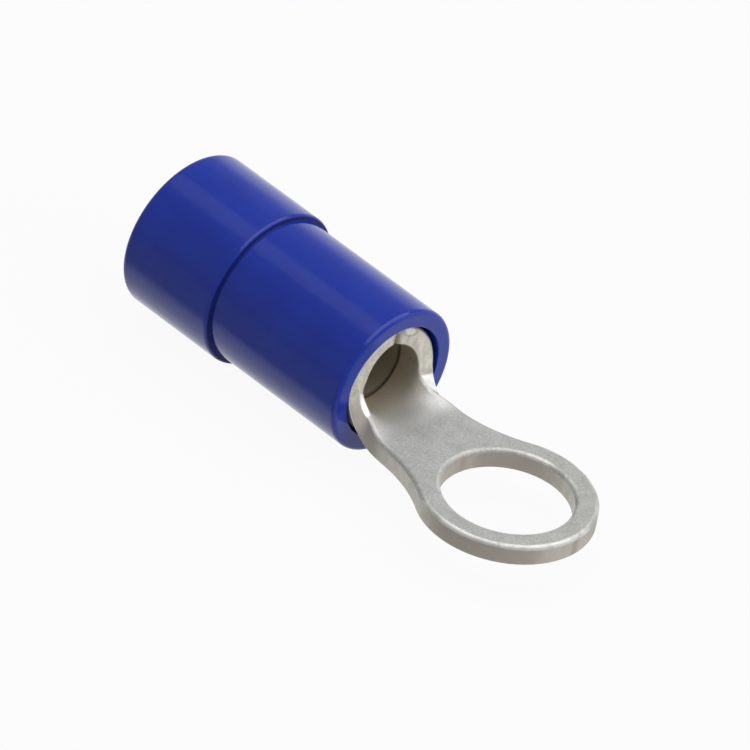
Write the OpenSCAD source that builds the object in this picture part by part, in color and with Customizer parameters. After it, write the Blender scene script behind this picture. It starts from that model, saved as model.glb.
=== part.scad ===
// Insulated ring terminal for a crimped wire end. Dimensions in millimetres.
// A punched sheet-metal ring tongue is rolled at its back into a round wire
// barrel, and a moulded two-diameter sleeve is pushed over the barrel.
// +X runs along the barrel towards the ring, +Z is square to the ring, and
// the origin is the centre of the stud hole on the ring's underside.

/* [Ring] */
// Stud hole diameter
hole_d = 5.0; // [4.3:0.1:5.4]
// Ring outer diameter
ring_d = 6.8; // [6.6:0.1:7.6]
// Thickness of the plated copper sheet
sheet = 0.8; // [0.6:0.05:0.85]
// Radius that the punch leaves on the sheet's upper edges
edge_roll = 0.15; // [0.06:0.01:0.2]

/* [Neck and mouth] */
// Half width of the neck where it is narrowest
neck_half = 2.06; // [1.9:0.02:2.2]
// Radius that blends the ring into the neck
neck_blend = 5.7; // [4.5:0.1:6.5]
// Where the neck starts to widen into the barrel wings
corner_x = -5.5; // [-5.7:0.05:-5.2]
// Radius between the neck's side and the wing's front edge
corner_r = 0.92; // [0.6:0.02:1.1]
// Slope of the wing's front edge in the flat blank, degrees
wing_slope = 84; // [80:1:87]
// Where the flat tongue starts to curl up
curl_start = -4.0; // [-4.4:0.05:-3.5]

/* [Barrel] */
// Bore for the stripped wire
barrel_bore_d = 2.8; // [2.4:0.1:3]
// Height of the barrel's axis over the ring's underside
axis_z = 1.75; // [1.6:0.05:1.9]
// Rear end of the barrel
barrel_rear = -12.8; // [-13.4:0.1:-12]
// Gap left where the two wings meet
seam_gap = 0.06; // [0.04:0.02:0.12]
// Front edge of the groove that grips the wire
groove_front = -7.4; // [-8:0.05:-7.35]
// Width of the groove
groove_width = 0.16; // [0.1:0.02:0.4]
// Depth of the groove
groove_depth = 0.07; // [0.03:0.01:0.15]

/* [Sleeve] */
// Front face of the sleeve
sleeve_front = -6.35; // [-6.6:0.05:-6.1]
// Step between the sleeve's two diameters
sleeve_step = -13.0; // [-13.4:0.1:-12.6]
// Rear end of the sleeve
sleeve_rear = -17.6; // [-19:0.1:-17]
// Diameter of the front length
front_d = 6.0; // [5.7:0.05:6.2]
// Diameter of the rear length
rear_d = 6.45; // [6.3:0.05:7]
// Diameter that takes the wire's insulation
entry_d = 4.9; // [4.4:0.1:5.1]
// Width of the opening left between barrel and sleeve at the front face
lead_in = 0.13; // [0.05:0.01:0.2]
// Rounding of the front rim
front_round = 0.18; // [0.05:0.01:0.2]
// Rounding of the step
step_round = 0.1; // [0.04:0.01:0.12]
// Rounding of the rear rim
rear_round = 0.2; // [0.1:0.05:0.4]
// Radial clearance between barrel and sleeve
sleeve_clear = 0.02; // [0.01:0.01:0.05]

/* [Hidden] */
$fn = 96;
over = 0.5;                 // how far a cutter runs past what it cuts
hole_r = hole_d / 2;
ring_r = ring_d / 2;
bore_r = barrel_bore_d / 2;
barrel_r = bore_r + sheet;
mid_r = bore_r + sheet / 2;
floor_drop = sheet / 2 - (axis_z - mid_r);
// The arc that blends ring and neck: its centre, a hair's breadth into the ring
// so that the two outlines cross, and the point where it is deepest
bite = 0.02;
blend_y = neck_half + neck_blend;
blend_x = -sqrt(pow(ring_r + neck_blend - bite, 2) - pow(blend_y, 2));
leave_x = blend_x * ring_r / (ring_r + neck_blend);
// The wing's front edge, from its corner on the neck to the seam on top
edge_x = corner_x - corner_r * sin(wing_slope);
edge_s = neck_half + corner_r * (1 - cos(wing_slope));
seam_s = PI * mid_r - seam_gap / 2;
mouth_x = edge_x - (seam_s - edge_s) / tan(wing_slope);
curl_end = edge_x - 0.1;
// The curled length: its ends are tucked into the plate and into the barrel
bury = 0.2;
tuck = 0.12;
skin = 0.02;
arc_steps = 24;
plate_end = curl_start;
stations = concat(
    [[plate_end + bury, tuck]],
    [for (i = [0 : 7]) [plate_end + (corner_x - plate_end) * i / 8, 0]],
    [for (i = [0 : 7]) [corner_x + (edge_x - corner_x) * sin(90 * i / 8), 0]],
    [for (i = [0 : 5]) [edge_x + (mouth_x - edge_x) * i / 5, 0]],
    [[mouth_x - bury, tuck]]);
// Sleeve radii
front_r = front_d / 2;
rear_r = rear_d / 2;
entry_r = entry_d / 2;
seat_r = barrel_r + sleeve_clear;
throat_r = bore_r;
funnel = (entry_r - throat_r) * 1.5;
lead_len = 0.9;

// ---- the sheet, followed from flat to rolled ----

function ease(t) = t <= 0 ? 0 : t >= 1 ? 1 : pow(t * t * (3 - 2 * t), 1.5);

// How far the sheet has curled at x: 0 is flat, 1 is the barrel's curvature
function curl(x) = ease((curl_start - x) / (curl_start - curl_end));

// Half width of the flat blank at x
function blank_half(x) =
    (x > blend_x ? blend_y - sqrt(pow(neck_blend, 2) - pow(x - blend_x, 2)) : neck_half)
    + (x >= corner_x ? 0
     : x >= edge_x ? corner_r - sqrt(pow(corner_r, 2) - pow(corner_x - x, 2))
     : x >= mouth_x ? edge_s - neck_half + (edge_x - x) * tan(wing_slope)
     : seam_s - neck_half);

// Point of the section at x, s along the middle of the sheet and n above it
function bent(x, s, n) =
    let (c = curl(x), z0 = sheet / 2 - floor_drop * c, r = mid_r / max(c, 0.0001),
         a = s / r * 180 / PI)
    c == 0 ? [x, s, z0 + n] : [x, (r - n) * sin(a), z0 + r - (r - n) * cos(a)];

// Outline of the sheet at a station: underside, then the upper side with rolled edges
function section(station) =
    let (x = station[0], inset = skin + station[1], w = blank_half(x) - inset,
         h = sheet / 2 - inset, q = edge_roll * (1 - sqrt(0.5)))
    concat(
        [for (i = [0 : arc_steps]) bent(x, w * (2 * i / arc_steps - 1), -h)],
        [bent(x, w, h - edge_roll), bent(x, w - q, h - q)],
        [for (i = [0 : arc_steps]) bent(x, (w - edge_roll) * (1 - 2 * i / arc_steps), h)],
        [bent(x, q - w, h - q), bent(x, -w, h - edge_roll)]);

// Triangles across one section, counted like its points
function across() =
    let (m = arc_steps, top = 2 * m + 3)
    concat(
        [for (i = [0 : m - 1]) each [[i, i + 1, top - i - 1], [i, top - i - 1, top - i]]],
        [[m, m + 1, m + 2], [m, m + 2, m + 3], [0, top, top + 1], [0, top + 1, top + 2]]);

module curled_length() {
    n = 2 * arc_steps + 6;
    last = (len(stations) - 1) * n;
    sides = [for (k = [0 : n : last - n]) for (i = [0 : n - 1])
        let (j = (i + 1) % n) each
        [[k + i, k + j, k + n + j], [k + i, k + n + j, k + n + i]]];
    ahead = [for (t = across()) [t[2], t[1], t[0]]];
    behind = [for (t = across()) [for (i = t) last + i]];
    polyhedron([for (at = stations) each section(at)], concat(ahead, sides, behind), convexity = 8);
}

// ---- plain shapes used more than once ----

// What a rounding of radius r takes off a square corner standing at the origin
module corner(r) {
    difference() {
        translate([-over, -over]) square(r + over);
        translate([r, r]) circle(r, $fn = 16);
    }
}

module along_x(x0, x1, r) {
    translate([x0, 0, axis_z]) rotate([0, 90, 0]) cylinder(r = r, h = x1 - x0);
}

// ---- terminal ----

module ring() {
    rotate_extrude() difference() {
        translate([hole_r, 0]) square([ring_r - hole_r, sheet]);
        translate([hole_r, sheet]) mirror([0, 1]) corner(edge_roll);
        translate([ring_r, sheet]) rotate(180) corner(edge_roll);
    }
}

module neck() {
    difference() {
        linear_extrude(sheet) difference() {
            translate([plate_end, -ring_r]) square([leave_x - plate_end, 2 * ring_r]);
            circle((hole_r + ring_r) / 2);
            for (side = [-1, 1]) translate([blend_x, side * blend_y]) circle(neck_blend);
        }
        for (side = [-1, 1]) translate([blend_x, side * blend_y, sheet])
            rotate_extrude() translate([neck_blend, 0]) mirror([0, 1]) corner(edge_roll);
    }
}

module barrel() {
    difference() {
        along_x(barrel_rear, mouth_x, barrel_r);
        along_x(barrel_rear - over, mouth_x + over, bore_r);
        along_x(groove_front - groove_width, groove_front, bore_r + groove_depth);
        translate([barrel_rear - over, -seam_gap / 2, axis_z])
            cube([mouth_x - barrel_rear + 2 * over, seam_gap, barrel_r + over]);
    }
}

module terminal() {
    color([0.72, 0.72, 0.7]) union() {
        ring();
        neck();
        curled_length();
        barrel();
    }
}

// ---- insulating sleeve ----

// The profile is drawn as [distance along the barrel, radius]
module sleeve_profile() {
    difference() {
        union() {
            translate([sleeve_step - over, 0]) square([sleeve_front - sleeve_step + over, front_r]);
            translate([sleeve_rear, 0]) square([sleeve_step - sleeve_rear, rear_r]);
        }
        translate([sleeve_front, front_r]) rotate(180) corner(front_round);
        translate([sleeve_step, rear_r]) rotate(180) corner(step_round);
        translate([sleeve_rear, rear_r]) mirror([0, 1]) corner(rear_round);
        // seat of the barrel, throat and funnel behind it, and the rear entry
        translate([barrel_rear, -over]) square([sleeve_front - barrel_rear + over, seat_r + over]);
        polygon([[sleeve_front - lead_len, seat_r - over], [sleeve_front - lead_len, seat_r],
                 [sleeve_front, barrel_r + lead_in], [sleeve_front + over, barrel_r + lead_in],
                 [sleeve_front + over, seat_r - over]]);
        polygon([[barrel_rear + over, -over], [barrel_rear + over, throat_r],
                 [barrel_rear, throat_r], [barrel_rear - funnel, entry_r],
                 [sleeve_rear - over, entry_r], [sleeve_rear - over, -over]]);
    }
}

module insulating_sleeve() {
    color([0.1, 0.16, 0.55]) translate([0, 0, axis_z]) rotate([0, 90, 0])
        rotate_extrude() mirror([1, -1]) sleeve_profile();
}

terminal();
insulating_sleeve();
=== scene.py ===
import math

import bmesh
import bpy
from bpy.props import FloatProperty, FloatVectorProperty, IntProperty, PointerProperty
from mathutils import Matrix, Vector


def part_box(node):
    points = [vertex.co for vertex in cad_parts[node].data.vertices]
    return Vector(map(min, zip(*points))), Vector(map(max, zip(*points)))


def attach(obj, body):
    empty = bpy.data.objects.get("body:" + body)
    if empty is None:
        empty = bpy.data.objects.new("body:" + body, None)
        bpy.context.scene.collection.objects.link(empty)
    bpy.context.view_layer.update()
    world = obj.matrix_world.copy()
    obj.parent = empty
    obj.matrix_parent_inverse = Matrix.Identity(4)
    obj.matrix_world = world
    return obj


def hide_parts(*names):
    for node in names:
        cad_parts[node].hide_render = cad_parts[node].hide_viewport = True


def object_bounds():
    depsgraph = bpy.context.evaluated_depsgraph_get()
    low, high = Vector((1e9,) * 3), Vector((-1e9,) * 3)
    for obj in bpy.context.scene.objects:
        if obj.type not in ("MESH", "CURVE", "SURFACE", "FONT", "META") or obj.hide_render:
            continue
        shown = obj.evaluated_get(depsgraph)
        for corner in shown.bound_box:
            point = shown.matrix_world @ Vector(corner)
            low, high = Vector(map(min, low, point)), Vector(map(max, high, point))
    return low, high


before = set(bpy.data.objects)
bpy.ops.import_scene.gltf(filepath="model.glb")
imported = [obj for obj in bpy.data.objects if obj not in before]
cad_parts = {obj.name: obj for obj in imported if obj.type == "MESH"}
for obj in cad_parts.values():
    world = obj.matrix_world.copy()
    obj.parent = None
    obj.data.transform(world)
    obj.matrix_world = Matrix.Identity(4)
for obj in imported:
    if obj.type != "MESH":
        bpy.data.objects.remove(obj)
cad_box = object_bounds()

bl_info = {
    "name": "Ring Terminal",
    "version": (1, 0, 0),
    "blender": (4, 5, 0),
    "location": "3D View > Sidebar > Ring Terminal",
    "description": "Tinned sheet, moulded sleeve and a pale studio round the packed ring terminal",
    "category": "Object",
}

MM = 0.001
HAIR = 0.02  # millimetres: width of the narrow bands that keep broad faces flat
BAND = 0.03  # the same, inside a rolled edge
STRIP_LENGTH = 0.1  # millimetres: the sheet is cut this finely along the curl
STRIPS_AROUND = 72  # and into this many strips round the barrel
TERMINAL = "terminal"
SLEEVE = "insulating_sleeve"

# Each studio panel: place and size in metres, watts, aimed at the object, shown in gloss.
# The setting of the same name multiplies its watts.
PANELS = {
    "overhead": ((0.08, 0.16, 0.5), (0.68, 0.84), 2.9, False, True),
    "strip": ((-0.12, -0.012, 0.3), (0.3, 0.128), 0.054, False, True),
    "back": ((0.36, 0.40, 0.24), (0.35, 0.3), 0.25, True, True),
    "side": ((0.45, 0.10, 0.22), (0.4, 0.3), 0.7, True, False),
}
# The camera stands off this point, in millimetres, with the picture's middle shifted from it
CAMERA_ANGLES = (39.119, 35.187, 11.362)  # azimuth, elevation and roll, in degrees
CAMERA_AIM = (-7.54717, 0.0, 0.0)
CAMERA_SHIFT = (0.45189, 1.03585)  # across and up the picture
CAMERA_DISTANCE = 424.5283
SENSOR_WIDTH = 36.0
FLOOR_REACH = 1500.0  # millimetres

term_low, term_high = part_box(TERMINAL)
sleeve_low, sleeve_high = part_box(SLEEVE)


# ---- settings that a user may change ----


def length(name, description, millimetres):
    """A length property, given in millimetres and stored in metres."""
    return FloatProperty(
        name=name, description=description, default=millimetres * MM,
        min=0.0 if millimetres >= 0 else -1.0, precision=5, subtype="DISTANCE", unit="LENGTH",
    )


def angle(name, description, degrees):
    """An angle property, given in degrees and stored in radians."""
    return FloatProperty(
        name=name, description=description, default=math.radians(degrees),
        subtype="ANGLE", unit="ROTATION",
    )


def colour(name, description, rgb):
    """A colour property, given as linear red, green and blue."""
    return FloatVectorProperty(
        name=name, description=description, default=rgb, size=3, min=0.0, max=1.0,
        subtype="COLOR",
    )


def factor(name, description, value, high=1.0):
    """A plain number from 0 to the given limit."""
    return FloatProperty(
        name=name, description=description, default=value, min=0.0, max=high,
        subtype="FACTOR" if high == 1.0 else "NONE",
    )


class TerminalSettings(bpy.types.PropertyGroup):
    """Sizes and colours of the pressed terminal"""

    hole: length("Stud hole", "Diameter of the stud hole", 5.0)
    ring: length("Ring", "Outer diameter of the ring", 2 * term_high.x / MM)
    sheet: length("Sheet", "Thickness of the plated copper sheet", 0.8)
    edge_roll: length("Edge roll", "Radius the punch leaves on the upper edges", 0.18)
    burr: length("Lower edge", "Chamfer on the sheet's lower edges", 0.03)
    neck_half: length("Neck", "Half width of the neck where it is narrowest", 2.06)
    neck_blend: length("Neck blend", "Radius between the ring and the neck", 5.7)
    corner_x: length("Wing start", "Where the neck widens into the wings", -5.5)
    corner_r: length("Wing corner", "Radius between the neck and the wing's front edge", 0.92)
    wing_slope: angle("Wing slope", "Slope of the wing's front edge in the flat blank", 84)
    far_tip: length("Far wing tip", "Radius where the far wing's front edge meets the seam", 0.42)
    seam_shift: length("Seam shift", "How far the seam lies to the far side of the top", 0.13)
    near_burnish: length("Near burnish", "Where the near wing corner's burnish starts", -6.45)
    far_burnish: length("Far burnish", "Where the far wing corner's burnish starts", -6.29)
    burnish_end: length("Burnish end", "Where the burnish on the wing corners ends", -5.84)
    curl_start: length("Curl start", "Where the flat tongue starts to curl up", -4.0)
    bore: length("Barrel bore", "Bore of the barrel for the stripped wire", 2.8)
    axis: length("Barrel height", "Height of the barrel's axis over the ring's underside", 1.75)
    barrel_rear: length("Barrel rear", "Rear end of the barrel", term_low.x / MM)
    seam_gap: length("Seam", "Gap left where the two wings meet", 0.06)
    tip_y: length("Tip across", "Where the far wing tip is flattened, sideways", 0.79)
    tip_z: length("Tip height", "Where the far wing tip is flattened, in height", 3.56)
    groove_x: length("Groove", "Where the first gripping groove lies in the barrel", -7.48)
    groove_width: length("Groove width", "Width of the gripping groove", 0.13)
    groove_depth: length("Groove depth", "Depth of the gripping groove", 0.05)
    tin: colour("Tin", "Satin tin plating", (0.515, 0.52, 0.50))
    tin_dull: colour("Dull tin", "Tin where it has gone dull", (0.37, 0.37, 0.35))
    # painted highlight: the rolled edges are painted this paler tin where they catch the lamps, and
    # the bend is painted lighter with it
    bright: colour("Bright tin", "Fresher tin on the bend and the rolled edges", (0.88, 0.87, 0.83))
    # painted highlight: the wing corners and the far wing's tip are painted this near-white tin
    # where they glint
    glint_tin: colour("Burnished tin", "Tin rubbed bright on the wing corners", (0.96, 0.955, 0.94))
    cut_edge: colour("Cut edge", "Warm grey of the punched edges", (0.43, 0.385, 0.33))
    # painted light: the punched faces are painted this paler colour where they face the lamps
    lit_cut_edge: colour("Wing edge", "Paler punched edges at the barrel's mouth", (0.87, 0.835, 0.74))
    inside: colour("Inside", "Warm tin inside the barrel", (0.56, 0.49, 0.35))
    # painted shade: the gripping groove's dark line is painted in this colour
    groove_shade: colour("Groove", "Dark residue in the gripping groove", (0.08, 0.06, 0.04))


class SleeveSettings(bpy.types.PropertyGroup):
    """Sizes and colours of the moulded sleeve"""

    front: length("Front", "Front face of the sleeve", sleeve_high.x / MM)
    rear: length("Rear", "Rear end of the sleeve", sleeve_low.x / MM)
    step: length("Step", "Step between the two diameters", -13.0)
    front_d: length("Front diameter", "Diameter of the front length", 6.0)
    rear_d: length("Rear diameter", "Diameter of the rear length", 2 * sleeve_high.y / MM)
    entry_d: length("Entry", "Diameter that takes the wire's insulation", 4.9)
    seat_r: length("Seat", "Radius of the seat round the barrel", 2.22)
    mouth_r: length("Mouth", "Radius of the opening in the front face", 2.33)
    throat_r: length("Throat", "Radius of the throat behind the barrel", 1.4)
    seat_rear: length("Seat end", "Where the barrel's rear end stops", term_low.x / MM)
    lead: length("Lead-in", "Length of the lead-in behind the front face", 0.9)
    front_round: length("Front rim", "Rounding of the front rim", 0.18)
    step_round: length("Step rim", "Rounding of the step", 0.12)
    root_round: length("Step root", "Fillet at the foot of the step", 0.025)
    rear_round: length("Rear rim", "Rounding of the rear rim", 0.22)
    segments: IntProperty(
        name="Segments", description="Faces round the sleeve", default=128, min=24, max=256
    )
    blue: colour("Blue", "Moulded blue plastic", (0.003, 0.0315, 0.40))
    deep_blue: colour("Deep blue", "Blue where the colour is denser", (0.002, 0.024, 0.35))
    # painted shade: the foot of the step is painted this dark blue
    step_shade_blue: colour("Step line", "Dull dark blue along the foot of the step", (0.002, 0.010, 0.13))


class StudioSettings(bpy.types.PropertyGroup):
    """The floor's colour, the lights' strengths and the camera's lens"""

    floor: colour("Floor", "Pale floor", (0.62, 0.62, 0.62))
    overhead: factor("Overhead", "Strength of the large overhead light", 1.0, 10.0)
    strip: factor("Strip", "Strength of the strip light over the sleeve", 1.0, 10.0)
    ambient: factor("Ambient", "Strength of the light from all round", 0.18, 2.0)
    back: factor("Back", "Strength of the low panel behind the ring", 1.0, 10.0)
    side: factor("Side", "Strength of the fill light from the ring's side", 1.0, 10.0)
    camera_lens: FloatProperty(
        name="Lens", description="Focal length of the camera, in millimetres", default=551.95,
        min=1.0, max=5000.0,
    )


# ---- modelling helpers; a bmesh here is in millimetres until it is finished ----


def in_mm(settings, *names):
    """The named length settings as a list of millimetres."""
    return [getattr(settings, name) / MM for name in names]


class Pen:
    """Draws one connected line of edges in a bmesh, by extruding and spinning its last point."""

    def __init__(self, bm, start):
        self.bm = bm
        self.first = self.tip = bm.verts.new(start)

    @property
    def at(self):
        """Where the pen is now."""
        return self.tip.co.copy()

    def line(self, end, steps=1):
        """A straight line to the given end, in equal steps."""
        move = (Vector(end) - self.tip.co) / steps
        for _ in range(steps):
            made = bmesh.ops.extrude_vert_indiv(self.bm, verts=[self.tip])
            self.tip = made["verts"][0]
            bmesh.ops.translate(self.bm, verts=[self.tip], vec=move)
        return self

    def arc(self, centre, turn, steps, axis=(0, 0, 1)):
        """An arc round a centre, through the given turn in radians."""
        made = bmesh.ops.spin(
            self.bm, geom=[self.tip], cent=Vector(centre), axis=Vector(axis), dvec=(0, 0, 0),
            angle=turn, steps=steps, use_merge=False, use_duplicate=False,
        )
        self.tip = next(g for g in made["geom_last"] if isinstance(g, bmesh.types.BMVert))
        return self

    def close(self):
        """Joins the line's end to its start."""
        self.bm.edges.new((self.tip, self.first))


def finish_mesh(bm, name, material, sharp_above=35.0):
    """Turns a bmesh in millimetres into a smooth object in metres."""
    bmesh.ops.scale(bm, vec=(MM, MM, MM), verts=bm.verts)
    for face in bm.faces:
        face.smooth = True
    limit = math.radians(sharp_above)
    for edge in bm.edges:
        edge.smooth = len(edge.link_faces) == 2 and edge.calc_face_angle(0.0) < limit
    mesh = bpy.data.meshes.new(name)
    bm.to_mesh(mesh)
    bm.free()
    mesh.materials.append(material)
    piece = bpy.data.objects.new(name, mesh)
    bpy.context.scene.collection.objects.link(piece)
    return piece


def cut(bm, point, normal, faces):
    """Slices the given faces along a plane, and leaves both sides in place."""
    edges = {e for f in faces for e in f.edges}
    verts = {v for f in faces for v in f.verts}
    bmesh.ops.bisect_plane(
        bm, geom=[*verts, *edges, *faces], dist=0.0005, plane_co=point, plane_no=normal,
        use_snap_center=False, clear_outer=False, clear_inner=False,
    )


# ---- shader helpers ----


class Socket:
    """A node's output. Arithmetic on it adds Math nodes to the same tree."""

    def __init__(self, tree, end):
        self.tree, self.end = tree, end

    def math(self, operation, *values):
        inputs = dict(enumerate(values))
        return self.tree.node("ShaderNodeMath", {"operation": operation}, inputs)

    def __add__(self, other):
        return self.math("ADD", self, other)

    def __sub__(self, other):
        return self.math("SUBTRACT", self, other)

    def __rsub__(self, other):
        return self.math("SUBTRACT", other, self)

    def __mul__(self, other):
        return self.math("MULTIPLY", self, other)

    def __abs__(self):
        return self.math("ABSOLUTE", self)

    __radd__, __rmul__ = __add__, __mul__


class Tree:
    """The nodes of one material or world."""

    def __init__(self, owner):
        owner.use_nodes = True
        self.tree = owner.node_tree
        self.tree.nodes.clear()

    def node(self, kind, settings=None, inputs=None, output=0):
        """Adds a node, sets it up, then fills its sockets with values or links."""
        made = self.tree.nodes.new(kind)
        for name, value in (settings or {}).items():
            if name == "stops":
                ramp = made.color_ramp.elements
                while len(ramp) > len(value):
                    ramp.remove(ramp[-1])
                while len(ramp) < len(value):
                    ramp.new(1.0)
                for stop, (place, shade) in zip(ramp, value):
                    stop.position, stop.color = place, (shade, shade, shade, 1.0)
            else:
                setattr(made, name, value)
        for name, value in (inputs or {}).items():
            socket = made.inputs[name]
            if isinstance(value, Socket):
                self.tree.links.new(value.end, socket)
            else:
                socket.default_value = value
        return Socket(self, made.outputs[output]) if made.outputs else None

    def mix_colour(self, amount, first, second):
        """Blends two colours; the Mix node's colour sockets are its inputs 6 and 7."""
        first, second = [
            c if isinstance(c, Socket) else (*c[:3], 1.0) for c in (first, second)
        ]
        return self.node(
            "ShaderNodeMix", {"data_type": "RGBA"}, {0: amount, 6: first, 7: second}, 2
        )

    def parts(self, vector, names):
        """The named parts of a vector, each as a value."""
        return [
            self.node("ShaderNodeSeparateXYZ", None, {"Vector": vector}, name) for name in names
        ]

    def distance(self, place, point):
        """How far a place is from a fixed point."""
        sockets = {0: place, 1: point}
        return self.node("ShaderNodeVectorMath", {"operation": "DISTANCE"}, sockets, "Value")

    def rays(self):
        """1 for what the camera, a gloss or a clear surface sees directly, as three values."""
        names = "Is Camera Ray", "Is Glossy Ray", "Is Transmission Ray"
        return [self.node("ShaderNodeLightPath", output=name) for name in names]

    def principled(self, **inputs):
        """Ends a material with a Principled shader; Base_Color stands for Base Color."""
        inputs = {name.replace("_", " "): value for name, value in inputs.items()}
        shader = self.node("ShaderNodeBsdfPrincipled", None, inputs)
        self.node("ShaderNodeOutputMaterial", None, {"Surface": shader})

    def grain(self, place, scale, detail, roughness):
        """Even noise, with its scale in grains per millimetre."""
        return self.node(
            "ShaderNodeTexNoise", None,
            {"Vector": place, "Scale": scale, "Detail": detail, "Roughness": roughness},
        )

    def ramp(self, value, *stops):
        """Turns a value into a grey by a colour ramp's stops."""
        return self.node("ShaderNodeValToRGB", {"stops": stops}, {"Fac": value})

    def fade(self, value, start, end):
        """Rises smoothly from 0 at start to 1 at end."""
        return self.node(
            "ShaderNodeMapRange", {"interpolation_type": "SMOOTHSTEP"},
            {"Value": value, "From Min": start, "From Max": end},
        )

    def place_mm(self, stretch=(1.0, 1.0, 1.0)):
        """Object coordinates in millimetres, squeezed or stretched along an axis."""
        spot = self.node("ShaderNodeTexCoord", output="Object")
        return self.node(
            "ShaderNodeMapping", None,
            {"Vector": spot, "Scale": tuple(s / MM for s in stretch)},
        )

    def bump(self, height, distance, strength, under=None):
        """A bump whose distance is in millimetres, over another one if that is given."""
        inputs = {"Height": height, "Distance": distance * MM, "Strength": strength}
        if under is not None:
            inputs["Normal"] = under
        return self.node("ShaderNodeBump", None, inputs)


def new_material(name):
    """A new material and the tree that its nodes go into."""
    material = bpy.data.materials.new(name)
    return material, Tree(material)


def tinned_sheet(settings):
    """Satin tin plating: fine grain, warm punched edges, painted highlights on the rolled edges, the
    wing corners and the far wing's tip, painted light on the lit punched faces, and painted shade in
    the groove and the seam's notch.

    The masks' places are millimetres along X, across Y and in height.
    """
    material, tree = new_material("tinned_sheet")
    tin, dull_tin, bright, glint_tin, cut_edge, lit_cut_edge, warm, groove_shade_colour = [
        tuple(getattr(settings, name)) for name in (
            "tin", "tin_dull", "bright", "glint_tin", "cut_edge", "lit_cut_edge", "inside", "groove_shade",
        )
    ]
    near_start, far_start, end, groove, tip_y, tip_z = in_mm(
        settings, "near_burnish", "far_burnish", "burnish_end", "groove_x", "tip_y", "tip_z"
    )
    fade = tree.fade
    place = tree.place_mm()
    along, across, height = tree.parts(place, "XYZ")
    punched, rolled = [
        tree.node("ShaderNodeAttribute", {"attribute_name": name}, output="Fac")
        for name in ("punched", "rolled")
    ]
    speck = tree.grain(place, 11.0, 3.0, 0.65)
    cloud = tree.grain(place, 1.3, 4.0, 0.6)
    shear = tree.grain(tree.place_mm((4.5, 4.5, 1.5)), 1.0, 4.0, 0.65)

    # the plated faces: dull patches, a lighter bend, a painted highlight along the rolled edge, a
    # warm barrel and painted shade in the groove
    dull = tree.ramp(cloud * 0.35 + speck * 0.65, (0.38, 0.0), (0.62, 1.0))
    patchy = tree.ramp(tree.grain(place, 0.9, 3.0, 0.6), (0.42, 0.15), (0.58, 1.0))
    # painted highlight along the rolled edges, broken into patches and kept off the neck
    rolled_sheen = rolled * fade(along, -3.2, -1.2) * patchy
    bend = fade(along, -4.4, -5.4) * fade(along, -6.9, -6.1) * (1 - punched)
    inside = fade(along, -5.6, -7.2) * (1 - punched)
    # painted shade: a dark line in the groove and a little beyond it
    groove_shade = fade(abs(along - groove), 0.13, 0.04) * 0.85 + fade(along, groove, groove - 0.2) * 0.15
    plate = tree.mix_colour(dull, tin, dull_tin)
    plate = tree.mix_colour(rolled_sheen * 0.5 + bend * 0.5, plate, bright)
    plate = tree.mix_colour(inside * 0.85, plate, warm)
    plate = tree.mix_colour(groove_shade * (1 - punched), plate, groove_shade_colour)

    # the punched faces, with painted light: paler where they face the lamps, high on the wings, in
    # the hole's front half and beside the neck
    wing = fade(along, -5.4, -6.0) * fade(height, 1.1, 1.9)
    hole = fade(tree.distance(place, (0.0, 0.0, 0.0)), 2.95, 2.65)
    hole_lit = hole * (fade(along, -1.3, 1.9) * 0.85 + fade(across, 1.1, 0.4) * 0.2)
    flank = fade(along, 0.2, -1.8) * fade(along, -5.2, -4.2) + fade(along, 2.9, 3.3) * 0.6
    lit = wing + hole_lit + flank * (1 - hole) * (1 - wing) * 0.65
    worn = tree.ramp(shear * 0.7 + speck * 0.3, (0.35, 0.0), (0.68, 1.0))
    side = tree.mix_colour(lit, cut_edge, lit_cut_edge)
    side = tree.mix_colour(worn * 0.6, side, dull_tin)

    # the far wing's tip: a painted highlight on a flattened oval with a darker edge round it, and
    # painted shade in the seam's notch
    over, up = across - tip_y, height - tip_z
    long_way, short_way = (over * 0.92 - up * 0.40) * 3.6, (over * 0.40 + up * 0.92) * 7.0
    from_tip = long_way * long_way + short_way * short_way
    face = fade(along, -7.0, -6.9)
    oval = fade(from_tip, 1.3, 0.1) * face * 0.5
    halo = fade(from_tip, 3.4, 1.6) * fade(from_tip, 0.7, 1.3) * 0.6
    notch = fade(across, -0.05, 0.12) * fade(across, 0.5, 0.2) * fade(height, 3.75, 3.5)
    blotch = tree.ramp(tree.grain(place, 2.4, 4.0, 0.65), (0.50, 0.0), (0.66, 1.0)) * wing
    side = tree.mix_colour((halo + notch) * face + blotch * 0.45, side, cut_edge)
    side = tree.mix_colour(oval, side, glint_tin)

    # the wings' corners, with painted highlights over the coined facets: the near one's rolled edge,
    # the far one's whole punched face
    far = fade(across, -0.1, 0.1)
    near_corner = fade(along, near_start - 0.02, near_start + 0.02) * rolled * (1 - far)
    far_corner = fade(along, far_start - 0.03, far_start + 0.03) * punched * far
    burnish_and_glint = (near_corner + far_corner) * fade(along, end + 0.03, end - 0.03)
    surface = tree.mix_colour(punched, plate, side)
    surface = tree.mix_colour(burnish_and_glint, surface, glint_tin)
    rough = 0.46 + speck * 0.14 + cloud * 0.06 - rolled_sheen * 0.1 - burnish_and_glint * 0.24
    relief = tree.bump(speck * 0.8 + shear * punched * 0.4, 0.014, 0.6)
    tree.principled(Base_Color=surface, Metallic=0.6, Roughness=rough, Normal=relief)
    return material


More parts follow.
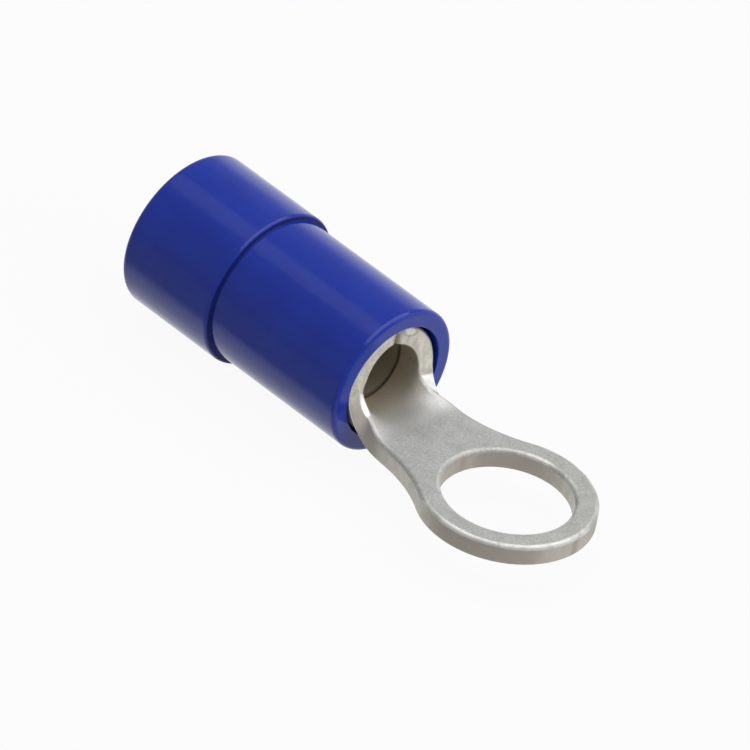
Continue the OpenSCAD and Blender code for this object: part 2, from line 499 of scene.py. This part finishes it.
def moulded_blue(settings, axis):
    """Soft satin plastic with a fine skin, faint flow lines and a painted shade line along the foot
    of the step.
    """
    material, tree = new_material("moulded_blue")
    place = tree.place_mm()
    (along,) = tree.parts(place, "X")
    step, rear_d = in_mm(settings, "step", "rear_d")
    brow = rear_d / 2
    from_step = tree.distance(place, (step, 0, axis))
    foot = tree.fade(abs(along - step), 0.09, 0.04) * tree.fade(from_step, brow - 0.02, brow - 0.09)
    skin = tree.grain(place, 9.0, 3.0, 0.6)
    cloud = tree.grain(place, 0.55, 3.0, 0.5)
    flow = tree.grain(tree.place_mm((0.25, 2.2, 2.2)), 1.0, 2.0, 0.5)
    rub = tree.ramp(tree.grain(place, 3.0, 5.0, 0.7), (0.56, 0.0), (0.72, 1.0))
    dense = tree.ramp(cloud * 0.6 + flow * 0.4, (0.35, 0.0), (0.65, 1.0))
    plastic = tree.mix_colour(dense, tuple(settings.blue), tuple(settings.deep_blue))
    # painted shade along the foot of the step
    plastic = tree.mix_colour(foot * 0.9, plastic, tuple(settings.step_shade_blue))
    rough = 0.12 + skin * 0.05 + rub * 0.05 + foot * 0.5
    relief = tree.bump(skin, 0.006, 0.35, tree.bump(cloud + flow, 0.03, 0.2))
    tree.principled(Base_Color=plastic, Roughness=rough, IOR=1.42, Normal=relief)
    return material


# ---- the terminal ----


class Blank:
    """The flat punched blank, and how each point of it moves when it is rolled up."""

    def __init__(self, settings):
        s = settings
        hole, ring, self.sheet, self.roll, self.burr, self.neck, self.blend = in_mm(
            s, "hole", "ring", "sheet", "edge_roll", "burr", "neck_half", "neck_blend"
        )
        self.corner_x, self.corner_r, self.curl_start, bore, axis = in_mm(
            s, "corner_x", "corner_r", "curl_start", "bore", "axis"
        )
        self.far_tip, self.shift = in_mm(s, "far_tip", "seam_shift")
        self.coined = in_mm(s, "near_burnish", "far_burnish", "burnish_end")
        self.rear, gap = in_mm(s, "barrel_rear", "seam_gap")
        self.hole_r, self.ring_r = hole / 2, ring / 2
        self.slope = s.wing_slope
        self.middle = bore / 2 + self.sheet / 2
        self.drop = self.sheet / 2 - (axis - self.middle)
        self.blend_y = self.neck + self.blend
        self.blend_x = -math.sqrt((self.ring_r + self.blend) ** 2 - self.blend_y**2)
        self.edge_x = self.corner_x - self.corner_r * math.sin(self.slope)
        self.edge_s = self.neck + self.corner_r * (1 - math.cos(self.slope))
        self.seam = math.pi * self.middle - gap / 2
        self.mouth_x = self.edge_x - (self.seam - self.edge_s) / math.tan(self.slope)
        self.curl_end = self.edge_x - 0.1

    def curl(self, x):
        """How far the sheet has curled at x: 0 is flat, 1 is the barrel's curvature."""
        t = (self.curl_start - x) / (self.curl_start - self.curl_end)
        t = min(max(t, 0.0), 1.0)
        return (t * t * (3 - 2 * t)) ** 1.5

    def upper_form(self, point):
        """Width, depth and flatness of the upper edge's roll at a point of the outline."""
        near = point.y < 0
        start, end = self.coined[0 if near else 1], self.coined[2]
        # the near corner is coined into a chamfer, and the far one keeps a smaller roll
        corner = (0.45, 1.5, 1.0) if near else (0.6, 0.6, 0.0)
        taper = 0.3 if near else 0.04
        return self.between(point.x, (
            (self.rear, 0.25, 0.25, 0.0), (start - 0.02, 0.25, 0.25, 0.0), (start + 0.04, *corner),
            (end - taper, *corner), (end + 0.08, 1.0, 1.0, 0.0), (self.ring_r, 1.0, 1.0, 0.0),
        ))

    def lower_form(self, point):
        """The same for the lower edge, which is rounder where it is stretched over the bend."""
        most = 1.5 if point.y < 0 else 3.5
        return self.between(point.x, (
            (self.rear, most, most, 0.0), (self.edge_x, most, most, 0.0),
            (self.corner_x, 1.0, 1.0, 0.0), (self.ring_r, 1.0, 1.0, 0.0),
        ))

    @staticmethod
    def between(x, places):
        """Reads a table of places along the blank, with straight lines between its rows."""
        for (x0, *first), (x1, *second) in zip(places, places[1:]):
            if x <= x1:
                way = max(x - x0, 0.0) / (x1 - x0)
                return [u + (v - u) * way for u, v in zip(first, second)]
        return places[-1][1:]

    def rolled(self, point):
        """Where a point of the flat blank lies once the wings are rolled up."""
        c = self.curl(point.x)
        if c <= 0.0:
            return point.copy()
        radius = self.middle / c
        turn = point.y / radius
        inward = radius - (point.z - self.sheet / 2)
        height = self.sheet / 2 - self.drop * c + radius
        return Vector((point.x, inward * math.sin(turn), height - inward * math.cos(turn)))


def draw_half(bm, blank, tip, seam):
    """Half of the blank, drawn from the ring's front round to the hole's front, and filled."""
    pen = Pen(bm, (blank.ring_r, 0, 0))
    leave = math.atan2(blank.blend_y, blank.blend_x)
    pen.arc((0, 0, 0), leave, 52)
    pen.arc((blank.blend_x, blank.blend_y, 0), -(leave - math.pi / 2), 24)
    pen.line((blank.corner_x, blank.neck, 0), 8)
    pen.arc((blank.corner_x, blank.neck + blank.corner_r, 0), -blank.slope, 14)
    # the wing's front edge, its rounded tip, and the seam edge
    turn = blank.slope
    run = tip / math.tan((math.pi - turn) / 2)
    along = Vector((-math.cos(turn), math.sin(turn), 0))
    mouth = blank.edge_x - (seam - blank.edge_s) / math.tan(blank.slope)
    corner = Vector((mouth, seam, 0))
    pen.line(corner - along * run, 16)
    if tip > 0.0:
        centre = pen.at + Vector((-along.y, along.x, 0)) * tip
        pen.arc(centre, turn, 6)
    pen.line((blank.rear, seam, 0), 12)
    pen.line((blank.rear, 0, 0), 1)
    pen.line((-blank.hole_r, 0, 0), 1)
    pen.arc((0, 0, 0), -math.pi, 64)
    pen.close()
    outline = [e for e in bm.edges if not e.link_faces]
    return bmesh.ops.contextual_create(bm, geom=outline)["faces"]


def raise_rim(bm, faces, radius, segments, up, form):
    """Rounds a flat region's rim by stepped insets, then adds a narrow flat band inside it.

    The form says for each place along the rim how wide and how deep the rounding is beside the
    radius, and how far it is flattened. Each vertex carries the rim point it came from.
    """
    punched, rolled, stage = [bm.verts.layers.float[n] for n in ("punched", "rolled", "stage")]
    start = bm.verts.layers.float_vector["start"]
    rim = {v for f in faces for v in f.verts}
    full = next(iter(rim)).co.z + up * radius
    wall = full - up * (radius + HAIR)
    for vert in bm.verts:
        vert[start] = vert.co
        vert[stage] = 1.0 if vert in rim or abs(vert.co.z - wall) < 0.001 else 0.0
    # for each stage, how much wider and lower it would lie on a straight chamfer
    chamfer = [(1.0, 0.0)]
    spread = rise = 0.0
    for k in range(1, segments + 2):
        step = min(k / segments, 1.0)
        turn = math.pi / 2 * step
        new_spread, new_rise = radius * (1 - math.cos(turn)), radius * math.sin(turn)
        flat_band = k > segments
        bmesh.ops.inset_region(
            bm, faces=faces, thickness=BAND if flat_band else new_spread - spread, depth=0.0,
            use_boundary=True, use_even_offset=True,
        )
        inner = {v for f in faces for v in f.verts}
        bmesh.ops.translate(bm, verts=list(inner), vec=(0, 0, up * (new_rise - rise)))
        for vert in inner:
            vert[punched] = 0.0
            vert[rolled] = 0.0 if flat_band or k == segments else 1.0
            vert[stage] = k + 1.0
        chamfer.append((radius * step / new_spread, radius * step - new_rise))
        spread, rise = new_spread, new_rise
    for vert in bm.verts:
        if vert[stage] > 0.0:
            home = vert[start]
            across, down, flat = form(home)
            wider, lower = chamfer[round(vert[stage]) - 1]
            across *= 1 + (wider - 1) * flat
            vert.co.x = home.x + (vert.co.x - home.x) * across
            vert.co.y = home.y + (vert.co.y - home.y) * across
            vert.co.z = full + (vert.co.z + up * lower * flat - full) * down


def punch_blank(blank):
    """The flat blank as a solid sheet: outline, thickness, rolled upper and sharp lower edges."""
    bm = bmesh.new()
    for name in ("punched", "rolled", "stage"):
        bm.verts.layers.float.new(name)
    bm.verts.layers.float_vector.new("start")
    draw_half(bm, blank, 0.0, blank.seam + blank.shift)
    bmesh.ops.scale(bm, vec=(1, -1, 1), verts=bm.verts[:])
    draw_half(bm, blank, blank.far_tip, blank.seam - blank.shift)
    bmesh.ops.remove_doubles(bm, verts=bm.verts[:], dist=0.0005)
    bmesh.ops.recalc_face_normals(bm, faces=bm.faces[:])
    if bm.faces[0].normal.z < 0:
        bmesh.ops.reverse_faces(bm, faces=bm.faces[:])
    under = bm.faces[:]
    bmesh.ops.translate(bm, verts=bm.verts[:], vec=(0, 0, blank.burr))
    made = bmesh.ops.extrude_face_region(bm, geom=under)["geom"]
    top = [g for g in made if isinstance(g, bmesh.types.BMFace)]
    rise = blank.sheet - blank.roll - blank.burr
    lifted = [g for g in made if isinstance(g, bmesh.types.BMVert)]
    bmesh.ops.translate(bm, verts=lifted, vec=(0, 0, rise))
    for level in (blank.burr + HAIR, blank.burr + rise - HAIR):
        cut(bm, (0, 0, level), (0, 0, 1), [f for f in bm.faces if abs(f.normal.z) < 0.5])
    punched = bm.verts.layers.float["punched"]
    for vert in bm.verts:
        vert[punched] = 1.0
    raise_rim(bm, top, blank.roll, 5, 1, blank.upper_form)
    raise_rim(bm, under, blank.burr, 3, -1, blank.lower_form)
    bm.verts.layers.float.remove(bm.verts.layers.float["stage"])
    bm.verts.layers.float_vector.remove(bm.verts.layers.float_vector["start"])
    return bm


def slice_for_bending(bm, blank, settings):
    """Cuts the sheet into narrow strips where it will be curled."""
    x = blank.curl_start
    while x > blank.mouth_x - 0.2:
        cut(bm, (x, 0, 0), (1, 0, 0), bm.faces[:])
        x -= STRIP_LENGTH
    groove, width = in_mm(settings, "groove_x", "groove_width")
    for edge in (0.5, 0.25, -0.25, -0.5):
        cut(bm, (groove + edge * width, 0, 0), (1, 0, 0), bm.faces[:])
    for k in range(1, STRIPS_AROUND):
        s = blank.seam * (2 * k / STRIPS_AROUND - 1)
        behind = [f for f in bm.faces if f.calc_center_median().x < blank.curl_start]
        cut(bm, (0, s, 0), (0, 1, 0), behind)


def press_groove(bm, blank, settings):
    """Sinks the gripping groove into what becomes the inside of the barrel."""
    groove, width, depth = in_mm(settings, "groove_x", "groove_width", "groove_depth")
    for vert in bm.verts:
        if abs(vert.co.x - groove) < width * 0.3 and vert.co.z > blank.sheet * 0.6:
            vert.co.z -= depth


class RINGTERMINAL_OT_terminal(bpy.types.Operator):
    """Punch the blank, roll its wings into the barrel and plate it with tin"""

    bl_idname = "ring_terminal.terminal"
    bl_label = "Pressed Terminal"

    def execute(self, context):
        settings = context.scene.ring_terminal_terminal
        blank = Blank(settings)
        bm = punch_blank(blank)
        slice_for_bending(bm, blank, settings)
        press_groove(bm, blank, settings)
        for vert in bm.verts:
            vert.co = blank.rolled(vert.co)
        bmesh.ops.dissolve_degenerate(bm, dist=0.001, edges=bm.edges[:])
        piece = finish_mesh(bm, "pressed_terminal", tinned_sheet(settings))
        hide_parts(TERMINAL)
        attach(piece, "root")
        return {"FINISHED"}


# ---- the sleeve ----


class RINGTERMINAL_OT_sleeve(bpy.types.Operator):
    """Turn the sleeve's wall round the barrel's axis and give it its moulded blue skin"""

    bl_idname = "ring_terminal.sleeve"
    bl_label = "Insulating Sleeve"

    def execute(self, context):
        s = context.scene.ring_terminal_sleeve
        axis = context.scene.ring_terminal_terminal.axis / MM
        front, rear, step, seat_rear, lead = in_mm(s, "front", "rear", "step", "seat_rear", "lead")
        r_front, r_rear, r_entry = [d / 2 for d in in_mm(s, "front_d", "rear_d", "entry_d")]
        seat, mouth, throat = in_mm(s, "seat_r", "mouth_r", "throat_r")
        rim, brow, root, heel = in_mm(s, "front_round", "step_round", "root_round", "rear_round")
        quarter, across, hair = math.pi / 2, (0, 1, 0), HAIR
        bm = bmesh.new()

        def at(x, r):
            return (x, 0, axis + r)

        pen = Pen(bm, at(front, mouth + hair))
        pen.line(at(front, r_front - rim - hair)).line(at(front, r_front - rim))
        pen.arc(at(front - rim, r_front - rim), -quarter, 6, across)
        pen.line(at(front - rim - hair, r_front)).line(at(step + root + hair, r_front))
        pen.line(at(step + root, r_front))
        pen.arc(at(step + root, r_front + root), quarter, 4, across)
        pen.line(at(step, r_rear - brow))
        pen.arc(at(step - brow, r_rear - brow), -quarter, 5, across)
        pen.line(at(step - brow - hair, r_rear)).line(at(rear + heel + hair, r_rear))
        pen.line(at(rear + heel, r_rear))
        pen.arc(at(rear + heel, r_rear - heel), -quarter, 7, across)
        pen.line(at(rear, r_rear - heel - hair)).line(at(rear, r_entry + 3 * hair))
        pen.arc(at(rear + 3 * hair, r_entry + 3 * hair), -quarter, 3, across)
        pen.line(at(seat_rear - (r_entry - throat) * 1.5, r_entry))
        pen.line(at(seat_rear, throat)).line(at(seat_rear, seat)).line(at(front - lead, seat))
        pen.line(at(front - hair, mouth))
        pen.close()
        bmesh.ops.spin(
            bm, geom=bm.verts[:] + bm.edges[:], cent=at(0, 0), axis=(1, 0, 0), dvec=(0, 0, 0),
            angle=2 * math.pi, steps=s.segments, use_merge=True, use_duplicate=False,
        )
        bmesh.ops.remove_doubles(bm, verts=bm.verts[:], dist=0.0005)
        bmesh.ops.recalc_face_normals(bm, faces=bm.faces[:])
        piece = finish_mesh(bm, "moulded_sleeve", moulded_blue(s, axis), 25.0)
        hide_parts(SLEEVE)
        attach(piece, "root")
        return {"FINISHED"}


# ---- floor, light and camera ----


def pale_floor(settings):
    """A matt floor that looks white and still takes a little of the object's shadow."""
    material, tree = new_material("pale_floor")
    matt = tree.node(
        "ShaderNodeBsdfDiffuse", None, {"Color": (*settings.floor, 1.0), "Roughness": 0.5}
    )
    white = tree.node("ShaderNodeEmission", None, {"Color": (1, 1, 1, 1), "Strength": 1.0})
    camera, glossy, through = tree.rays()
    (across,) = tree.parts(tree.place_mm(), "Y")
    # in gloss the floor goes dark on the near side, which keeps the sleeve's lower half deep
    shade = tree.fade(across, -4.6, -6.6)
    seen = camera * 0.94 + (glossy + through) * 0.96 * (1 - shade)
    surface = tree.node("ShaderNodeMixShader", None, {0: seen, 1: matt, 2: white})
    tree.node("ShaderNodeOutputMaterial", None, {"Surface": surface})
    return material


def pale_world(settings):
    """Even light from all round, which the camera and the metal see as a pale backdrop."""
    world = bpy.data.worlds.new("pale_world")
    bpy.context.scene.world = world
    tree = Tree(world)
    direction = tree.node("ShaderNodeTexCoord", output="Generated")
    back, height = tree.parts(direction, "YZ")
    # full strength only low at the back, which lights the sleeve's upper edge
    level = 0.57 + tree.fade(back, 0.3, 0.85) * tree.fade(height, 0.45, 0.05) * 0.43
    camera, glossy, through = tree.rays()
    gleam = glossy + through
    strength = camera + (gleam + (1 - camera - gleam) * settings.ambient) * level * (1 - camera)
    surface = tree.node(
        "ShaderNodeBackground", None, {"Color": (1, 1, 1, 1), "Strength": strength}
    )
    tree.node("ShaderNodeOutputWorld", None, {"Surface": surface})


def add_panel_light(name, place, size, watts, aimed, in_gloss):
    """A rectangular soft light that hangs level, or is turned towards the object."""
    light = bpy.data.lights.new(name, "AREA")
    light.shape, light.size, light.size_y, light.energy = "RECTANGLE", *size, watts
    lamp = bpy.data.objects.new(name, light)
    lamp.location = place
    if aimed:
        lamp.rotation_euler = (-Vector(place)).to_track_quat("-Z", "Y").to_euler()
    lamp.visible_glossy = in_gloss
    bpy.context.scene.collection.objects.link(lamp)


def add_camera(lens):
    """A camera with a long lens, turned a little about its own line of sight."""
    azimuth, elevation, roll = [math.radians(a) for a in CAMERA_ANGLES]
    back = Vector((
        math.sin(azimuth) * math.cos(elevation),
        -math.cos(azimuth) * math.cos(elevation),
        math.sin(elevation),
    ))
    right = Vector((math.cos(azimuth), math.sin(azimuth), 0))
    up = back.cross(right)
    across = math.cos(roll) * right + math.sin(roll) * up
    upward = -math.sin(roll) * right + math.cos(roll) * up
    place = Vector(CAMERA_AIM) + CAMERA_SHIFT[0] * across + CAMERA_SHIFT[1] * upward
    place += CAMERA_DISTANCE * back
    camera = bpy.data.objects.new("camera", bpy.data.cameras.new("camera"))
    camera.data.sensor_width, camera.data.lens = SENSOR_WIDTH, lens
    camera.data.clip_start, camera.data.clip_end = 0.01, 10.0
    turn = Matrix((across, upward, back)).transposed().to_4x4()
    camera.matrix_world = Matrix.Translation(place * MM) @ turn
    bpy.context.scene.collection.objects.link(camera)
    bpy.context.scene.camera = camera


class RINGTERMINAL_OT_studio(bpy.types.Operator):
    """Lay the pale floor, hang the soft lights and set up the camera"""

    bl_idname = "ring_terminal.studio"
    bl_label = "Studio"

    def execute(self, context):
        settings = context.scene.ring_terminal_studio
        bm = bmesh.new()
        bmesh.ops.create_grid(bm, x_segments=1, y_segments=1, size=FLOOR_REACH)
        bmesh.ops.translate(bm, verts=bm.verts, vec=(0, 0, cad_box[0].z / MM))
        finish_mesh(bm, "studio_floor", pale_floor(settings))
        pale_world(settings)
        for name, (place, size, watts, aimed, in_gloss) in PANELS.items():
            add_panel_light(name, place, size, watts * getattr(settings, name), aimed, in_gloss)
        add_camera(settings.camera_lens)
        context.scene.view_settings.view_transform = "Standard"
        return {"FINISHED"}


# ---- panel and registration ----

PIECES = (RINGTERMINAL_OT_terminal, RINGTERMINAL_OT_sleeve, RINGTERMINAL_OT_studio)
GROUPS = {
    "ring_terminal_terminal": TerminalSettings,
    "ring_terminal_sleeve": SleeveSettings,
    "ring_terminal_studio": StudioSettings,
}


class RINGTERMINAL_PT_panel(bpy.types.Panel):
    """Lists the terminal's pieces and their sizes"""

    bl_idname = "RINGTERMINAL_PT_panel"
    bl_label = "Ring Terminal"
    bl_space_type = "VIEW_3D"
    bl_region_type = "UI"
    bl_category = "Ring Terminal"

    def draw(self, context):
        for (group, kind), piece in zip(GROUPS.items(), PIECES):
            box = self.layout.box()
            box.operator(piece.bl_idname)
            for name in kind.__annotations__:
                box.prop(getattr(context.scene, group), name)


CLASSES = (*GROUPS.values(), *PIECES, RINGTERMINAL_PT_panel)


def register():
    """Adds the settings, the operators and the panel to Blender."""
    for kind in CLASSES:
        bpy.utils.register_class(kind)
    for name, kind in GROUPS.items():
        setattr(bpy.types.Scene, name, PointerProperty(type=kind))


def unregister():
    """Takes them out again."""
    for name in GROUPS:
        delattr(bpy.types.Scene, name)
    for kind in reversed(CLASSES):
        bpy.utils.unregister_class(kind)


def main():
    """Builds both pieces and the studio."""
    register()
    bpy.ops.ring_terminal.terminal()
    bpy.ops.ring_terminal.sleeve()
    bpy.ops.ring_terminal.studio()


if __name__ == "__main__":
    main()
